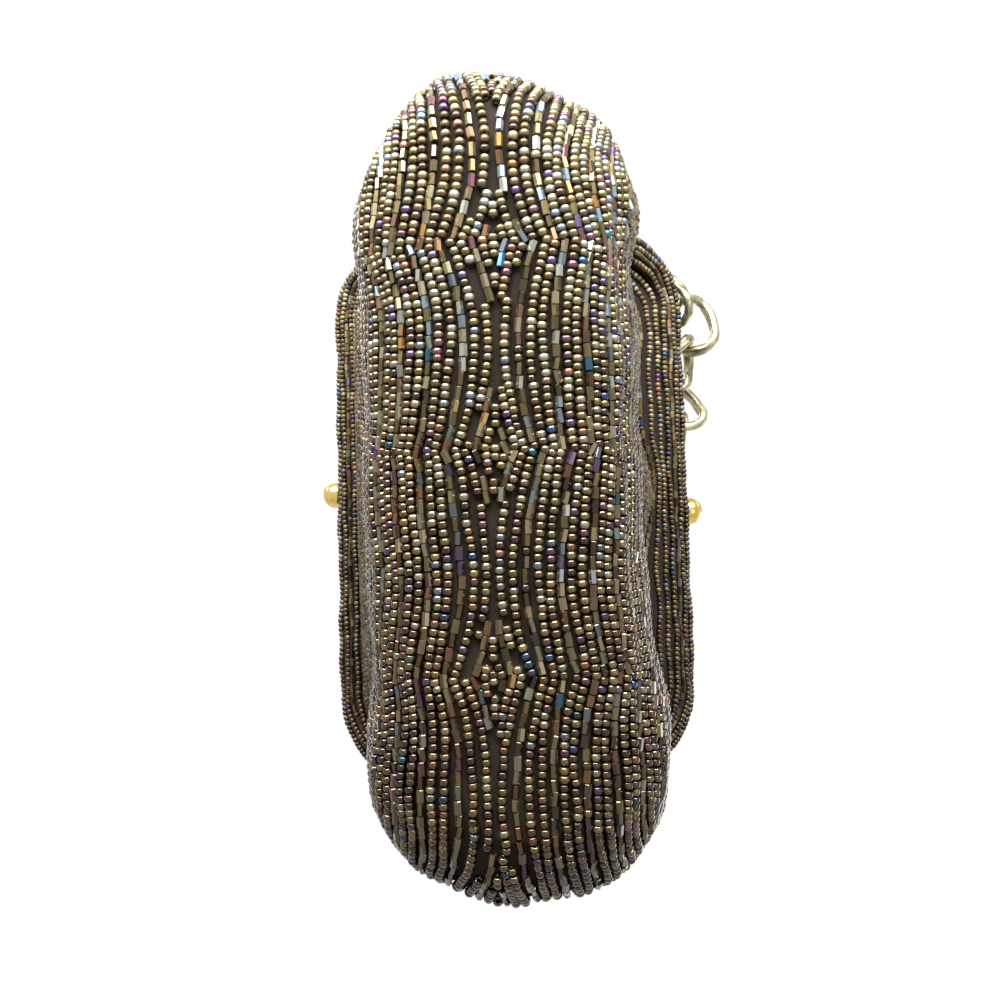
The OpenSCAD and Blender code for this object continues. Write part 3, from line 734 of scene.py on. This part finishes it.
for side, name in ((1, "back"), (-1, "front")):
    pts = []
    for n, w in zip(cover_n, cover_w):
        n, w = padded(outline(cover_path, 0)[0], n, w, side)
        x, u = outline(cover_path, n)
        pts.append(on_back(x, w, u))
    faces = grid_faces(len(cover_n), len(cover_path), rows_meet=True)
    strip = make("cover_" + name, mirror(np.concatenate(pts), side), faces, woven,
                 flip=side < 0, body=name + "_half")
    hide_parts(name + "_cover")
    beads = Strings()
    # n, w and whether the row lies on the bar's face; a gap is left for the ball's stem
    rows = [(-5.1, 6.1, 1), (-3.15, 6.35, 1), (-1.2, 6.35, 1), (1.15, 6.0, 0),
            (2.15, 4.3, 0), (2.2, 2.6, 0), (1.9, 1.2, 0)]
    stem_x, stem_room = -4.2 * side, 2.8
    for m, (n, w, flat) in enumerate(rows):
        flat_n, flat_w = padded(outline(cover_path, 0)[0], n, w, side)
        sway = 0.28 * np.sin(cover_path / 5.1 + 2 * m) + 0.2 * np.sin(cover_path / 2.2 + m)
        flat_n = flat_n + sway * flat
        flat_w = flat_w + sway * (1 - flat)
        x, u = outline(cover_path, flat_n)
        keep = np.abs(x - stem_x) > (stem_room if n > 1 and 1.5 < w < 4 else 0)
        line = on_back(x, flat_w, u)
        x2, u2 = outline(cover_path, flat_n + 1)
        normal = on_back(x, flat_w + 1, u) - line if flat else on_back(x2, flat_w, u2) - line
        for part in runs(keep):
            beads.add(mirror(line[part], side), mirror(normal[part], side),
                      1 if m in (1, 5) else 0, 0.86)
    # the cover's beads are rubbed duller and darkened with painted shade
    sewn_on = set_beads("cover_beads_" + name, beads, 0, False, name + "_half", painted_shade_and_rub=0.72)
    sewn_on += set_beads("cover_bugles_" + name, beads, 1, False, name + "_half", painted_shade_and_rub=0.72)

# === The satin lining ===
# A loose pouch of brown satin inside the bag, sewn to two satin sheets that line the spread
# cloth up to the frame. It falls in soft gathers.
def mottled(name, rough, scale, low, high, detail=2):
    """a finish that varies from one colour to another, and its nodes"""
    m, nt, skin, where = new_finish(name, rough)
    cloudy = nt.nodes.new("ShaderNodeTexNoise")
    cloudy.inputs["Scale"].default_value = scale
    cloudy.inputs["Detail"].default_value = detail
    tint = nt.nodes.new("ShaderNodeValToRGB")
    tint.color_ramp.elements[0].color = low + (1,)
    tint.color_ramp.elements[1].color = high + (1,)
    nt.links.new(where.outputs["Object"], cloudy.inputs["Vector"])
    nt.links.new(cloudy.outputs["Fac"], tint.inputs["Fac"])
    nt.links.new(tint.outputs["Color"], skin.inputs["Base Color"])
    return m, nt, skin, where, cloudy


satin, nt, skin, where, _ = mottled("brown_satin", 0.38, 60, (0.10, 0.055, 0.032),
                                    (0.19, 0.11, 0.065))
skin.inputs["Sheen Weight"].default_value = 0.15
skin.inputs["Anisotropic"].default_value = 0.5
thread = nt.nodes.new("ShaderNodeTexWave")
thread.inputs["Scale"].default_value = 1400
thread.inputs["Distortion"].default_value = 1.5
nt.links.new(where.outputs["Object"], thread.inputs["Vector"])
raise_up(nt, skin, thread.outputs["Fac"], 0.25, 0.0001)


def gathered(p):
    """soft upright folds, strongest near the rim, always inward"""
    ang = np.arctan2(p[..., 1], p[..., 0])
    up = np.clip((p[..., 2] - 12) / 45, 0, 1)
    pull = up * (0.5 + 0.5 * np.sin(ang * 30 + 1.7 * np.sin(ang * 7))) * 1.6
    radial = p[..., :2] / np.maximum(1e-6, np.linalg.norm(p[..., :2], axis=-1, keepdims=True))
    q = p.copy()
    q[..., :2] -= radial * pull[..., None]
    return q


for side, name in ((1, "back"), (-1, "front")):
    pouch = two_sided(settle(mirror(gathered(bag_sheet(3.6, 4.3, 260)), side)),
                      settle(mirror(gathered(bag_sheet(4.0, 4.7, 260)), side)))
    ends = [(-7.6, 0.9), (-6.4, 0.75), (-5.6, 0.7)]
    ends_in = [(n, w - .4) for n, w in ends]
    sheet = two_sided(settle(mirror(spread_sheet(3.6, 1.2, -8.5, ends, 260), side)),
                      settle(mirror(spread_sheet(4.0, 0.8, -8.5, ends_in, 260), side)))
    lining = make("lining_" + name, *join_meshes([pouch, sheet]), satin, flip=side > 0)
    follow(lining)
    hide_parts("pouch_" + name, name + "_lining")

# === The slip pocket ===
# A flat piece of the same satin, hemmed at the top and sewn to the back of the lining on its
# other three edges.
low, high, left, right = .34, .78, 55, 125  # shares of the wall's height, degrees round it
k, t = np.meshgrid(np.linspace(low, high, 24), np.radians(np.linspace(left, right, 60)),
                   indexing="ij")
bulge = np.sin(np.pi * (np.degrees(t) - left) / (right - left)) * ((k - low) / .44)
outer, inner = wall_at(k, t, 5.0, 4.3), wall_at(k, t, 5.4, 4.3)
hem = np.where(k > high - .02, 0.25, 0)
outer[..., 1] -= bulge
inner[..., 1] -= bulge + hem
pocket = make("slip_pocket", *two_sided(settle(outer), settle(inner)), satin, flip=True)
follow(pocket)
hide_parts("inner_pocket")

# === The interlining ===
# White felt between the beaded cloth and the lining, cut to the wall and left loose.
felt, nt, skin, _, fuzz = mottled("white_felt", 0.95, 1500, (0.55, 0.53, 0.48),
                                  (0.78, 0.76, 0.70), 4)
raise_up(nt, skin, fuzz.outputs["Fac"], 0.6, 0.0002)
k, t = np.meshgrid(np.linspace(.17, .985, 30), np.linspace(0.01, np.pi - 0.01, 140), indexing="ij")
for side, name in ((1, "back"), (-1, "front")):
    layer = make("interlining_felt_" + name, *two_sided(
        settle(mirror(wall_at(k, t, 2.6, 2.5), side)),
        settle(mirror(wall_at(k, t, 3.2, 2.9), side))), felt, flip=side > 0)
    follow(layer)
    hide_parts("interlining_" + name)

# === The base board ===
# Grey-brown bookbinder's board that stiffens the flattened bottom, under the lining.
card = mottled("base_card", 0.9, 400, (0.20, 0.155, 0.10), (0.36, 0.29, 0.20), 6)[0]


def refinish(material, *nodes):
    """gives parts of the frame a finish of their own"""
    for node in nodes:
        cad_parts[node].data.materials.clear()
        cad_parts[node].data.materials.append(material)


refinish(card, "base_board")

# === The frame rails ===
# Brass strip rolled to a channel and bent to shape, gilt, with a hinge lug at each foot.


def gilt(name, base, worn, rough, coat=0.0, hammered=0.12):
    """plated metal with faint hammering, rubbed lighter and duller in places"""
    m, nt, skin, where = new_finish(name)
    skin.inputs["Metallic"].default_value = 1
    skin.inputs["Coat Weight"].default_value = coat
    patch = nt.nodes.new("ShaderNodeTexNoise")
    patch.inputs["Scale"].default_value = 260
    patch.inputs["Detail"].default_value = 5
    tint = nt.nodes.new("ShaderNodeValToRGB")
    tint.color_ramp.elements[0].position, tint.color_ramp.elements[1].position = 0.35, 0.65
    tint.color_ramp.elements[0].color = tuple((c / 255) ** 2.2 for c in worn) + (1,)
    tint.color_ramp.elements[1].color = tuple((c / 255) ** 2.2 for c in base) + (1,)
    span = nt.nodes.new("ShaderNodeMapRange")
    span.inputs["To Min"].default_value, span.inputs["To Max"].default_value = rough + .12, rough
    fine = nt.nodes.new("ShaderNodeTexNoise")
    fine.inputs["Scale"].default_value = 900
    nt.links.new(where.outputs["Object"], patch.inputs["Vector"])
    nt.links.new(where.outputs["Object"], fine.inputs["Vector"])
    nt.links.new(patch.outputs["Fac"], tint.inputs["Fac"])
    nt.links.new(tint.outputs["Color"], skin.inputs["Base Color"])
    nt.links.new(patch.outputs["Fac"], span.inputs["Value"])
    nt.links.new(span.outputs[0], skin.inputs["Roughness"])
    raise_up(nt, skin, fine.outputs["Fac"], hammered, 0.0001)
    return m


refinish(gilt("gilt_rail", (214, 180, 112), (150, 118, 66), 0.28), "front_rail", "back_rail")

# === The crimping cords ===
# Twisted paper cord, pressed into the channel on top of the cloth to hold it there.
paper_twist = mottled("paper_twist", 0.9, 900, (0.42, 0.36, 0.26), (0.62, 0.56, 0.44))[0]
cord_d, cord_sides = np.linspace(0.5, path_len - 0.5, 700), 12
for side, name in ((1, "back"), (-1, "front")):
    rings = []
    for a in 2 * np.pi * np.arange(cord_sides) / cord_sides:
        r = 0.78 + 0.1 * np.cos(2 * a - cord_d * 1.6)
        x, u = outline(cord_d, -1.7 + r * np.cos(a))
        rings.append(on_back(x, w_mid + r * np.sin(a), u))
    faces = grid_faces(cord_sides, len(cord_d), rows_meet=True)
    twist = make("crimp_cord_" + name, mirror(np.concatenate(rings), side), faces,
                 paper_twist, flip=side > 0, body=name + "_half")
    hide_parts(name + "_cord")

# === The hinge rivets, chain tabs and end rings ===
# A brass rivet through both lugs and the chain tab at each end, its far end peened over; the
# end rings are bent from round wire and soldered.
refinish(gilt("gilt_hinge", (204, 172, 106), (132, 104, 60), 0.32),
         "rivet_left", "rivet_right", "chain_tab_left", "chain_tab_right")
refinish(gilt("gilt_wire", (222, 204, 152), (150, 130, 84), 0.25),
         "end_ring_left", "end_ring_right")

# === The kiss lock ===
# Two hollow gilt balls on leaning stems that snap past each other. Each is spun from sheet in
# two cups with a fine seam round it, and is flattened where the stem goes in.
ball_gilt = gilt("gilt_ball", (226, 200, 124), (190, 152, 82), 0.15, 0.3)
refinish(gilt("gilt_stem", (206, 166, 90), (140, 104, 56), 0.3), "back_stem", "front_stem")
ball_r, seam_deep, flat_at, ball_sides = 4.0, 0.09, -3.78, 64
for side, name in ((1, "back"), (-1, "front")):
    lo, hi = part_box(name + "_ball")
    middle = np.array((lo + hi) / 2) * 1000
    axis = np.array([0, side * np.sin(opened), np.cos(opened)])
    side_way = np.array([1.0, 0, 0])
    third = np.cross(axis, side_way)
    up = np.concatenate([np.linspace(-90, -4, 30), np.linspace(-3, 3, 7), np.linspace(4, 90, 30)])
    ring = np.radians(np.arange(ball_sides) * 360 / ball_sides)
    pts = []
    for a in np.radians(up):
        r = ball_r - seam_deep * np.exp(-(np.degrees(a) / 1.6) ** 2)
        h = max(r * np.sin(a), flat_at)
        pts.append(middle + axis * h + max(r * np.cos(a), 0.004) * (
            np.cos(ring)[:, None] * side_way + np.sin(ring)[:, None] * third))
    faces = grid_faces(len(up), ball_sides, cols_meet=True)
    ball = make("kiss_ball_" + name, np.concatenate(pts), faces, ball_gilt,
                body=name + "_half")
    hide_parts(name + "_ball")

# === The chain ===
# Heavy links of champagne-plated wire, each bent to a long ring, twisted out of its plane so
# that it lies flat on the next, and filed with a flat on each side that catches the light.
chain_plate = gilt("champagne_plate", (182, 176, 146), (104, 98, 74), 0.32, 0.1, 0.5)
# the frame's two chain nodes are taken apart into links by the edges that join their points
parts = []
for node in ("chain_over_bar", "chain_inside"):
    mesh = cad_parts[node].data
    co = np.array([v.co for v in mesh.vertices]) * 1000
    spots, index = np.unique(np.round(co, 3), axis=0, return_inverse=True)
    index = index.ravel()
    label = np.arange(len(spots))
    edges = index[np.array([e.vertices for e in mesh.edges])]
    while True:
        low = np.minimum(label[edges[:, 0]], label[edges[:, 1]])
        new = label.copy()
        np.minimum.at(new, edges[:, 0], low)
        np.minimum.at(new, edges[:, 1], low)
        if (new == label).all():
            break
        label = new
    parts += [spots[label == g] for g in np.unique(label)]
# a link's centre, its length, its breadth and the way out of its plane
links = []
for cloud in parts:
    centre = cloud.mean(0)
    _, _, axes = np.linalg.svd(cloud - centre)
    t, b = axes[0], axes[1]
    links.append((centre, t, b, np.cross(t, b)))
# in order along the chain, from the left end ring
order, left = [], list(range(len(links)))
here = np.array([-77.8, -9.5, 87.1])
while left:
    nearest = min(left, key=lambda i: np.linalg.norm(links[i][0] - here))
    here = links[nearest][0]
    order.append(nearest)
    left.remove(nearest)
links = [links[i] for i in order]
# the links over the bar lie askew: how far each is shifted (mm) and turned (radians)
askew = {3: ((.2, .7, 1.1), (-.07, -.20, .17)), 4: ((.3, .2, -.8), (.59, -.24, .08)),
         5: ((-1.5, -.6, -.9), (.45, -.12, .24)), 6: ((-2.1, 4.2, 2.3), (-.23, -.25, .14)),
         7: ((-1.5, -.3, 2.4), (.02, .39, -.52)), 8: ((-1.0, -1.0, .3), (-.15, .02, .03)),
         9: ((-.3, -.4, .2), (0, 0, 0)), 10: ((0, 1, 0), (0, 0, 0)),
         11: ((0, 3.2, .4), (0, 0, 0)), 12: ((0, 4.6, 0), (0, 0, 0)),
         13: ((0, 4.8, 0), (0, 0, 0)), 14: ((0, 4.6, 0), (0, 0, 0)),
         15: ((0, 4.2, 0), (0, 0, 0)), 16: ((0, 3, 0), (0, 0, 0)), 17: ((0, 1.2, 0), (0, 0, 0))}
for i, (shift, turn) in askew.items():
    lie = Matrix.Rotation(np.linalg.norm(turn), 3, turn) if any(turn) else Matrix.Identity(3)
    lie = np.array(lie)
    links[i] = (links[i][0] + np.array(shift), *(lie @ v for v in links[i][1:]))


half_long, half_broad, twist_out, squareness, wire_r = 8.0, 5.8, 2.2, 0.8, 1.6
link_steps, wire_sides = 72, 20


def link_mesh(centre, t, b, n, seed):
    """points and faces of one link"""
    pick = np.random.default_rng(seed)
    a = 2 * np.pi * np.arange(link_steps) / link_steps
    bent = [np.sign(v) * np.abs(v) ** squareness for v in (np.cos(a), np.sin(a))]
    o = (centre + half_long * bent[0][:, None] * t + half_broad * bent[1][:, None] * b
         + twist_out * np.sin(2 * a)[:, None] * n)
    q = np.roll(o, -1, 0) - np.roll(o, 1, 0)
    q /= np.linalg.norm(q, axis=1, keepdims=True)
    r = np.cos(a)[:, None] * t + np.sin(a)[:, None] * b
    g = r - q * (q * r).sum(1, keepdims=True)
    g /= np.linalg.norm(g, axis=1, keepdims=True)
    h = np.cross(q, g)
    e = 2 * np.pi * np.arange(wire_sides) / wire_sides
    # wire section with filed flats that wander round it
    wander = 0.5 * np.sin(2 * a + pick.uniform(0, 6)) + 0.3 * np.sin(5 * a + pick.uniform(0, 6))
    radius = wire_r * (1 - 0.28 * np.clip(np.cos(2 * (e[None] - wander[:, None])), 0, 1) ** 2
                       - 0.06 * (0.5 + 0.5 * np.sin(7 * a + seed))[:, None]
                       - 0.03 * np.sin(3 * e[None] + 4 * a[:, None]))
    pts = (o[:, None] + radius[..., None] * (np.cos(e)[None, :, None] * g[:, None]
                                             + np.sin(e)[None, :, None] * h[:, None]))
    return pts.reshape(-1, 3), grid_faces(link_steps, wire_sides, True, True)


meshes = [link_mesh(*link, i) for i, link in enumerate(links)]
# from the left ring to the bar, over the bar into the mouth, and the rest inside the bag
run_left = make("chain_left", *join_meshes(meshes[:5]), chain_plate)
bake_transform(run_left)
run_over = make("chain_over", *join_meshes(meshes[5:13]), chain_plate)
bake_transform(run_over)
run_inside = make("chain_in_bag", *join_meshes(meshes[13:]), chain_plate, body="bag_body")
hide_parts("chain_over_bar")
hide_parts("chain_over_bar")
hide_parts("chain_inside")

# === The finish ===
bpy.context.scene.view_settings.view_transform = "Standard"
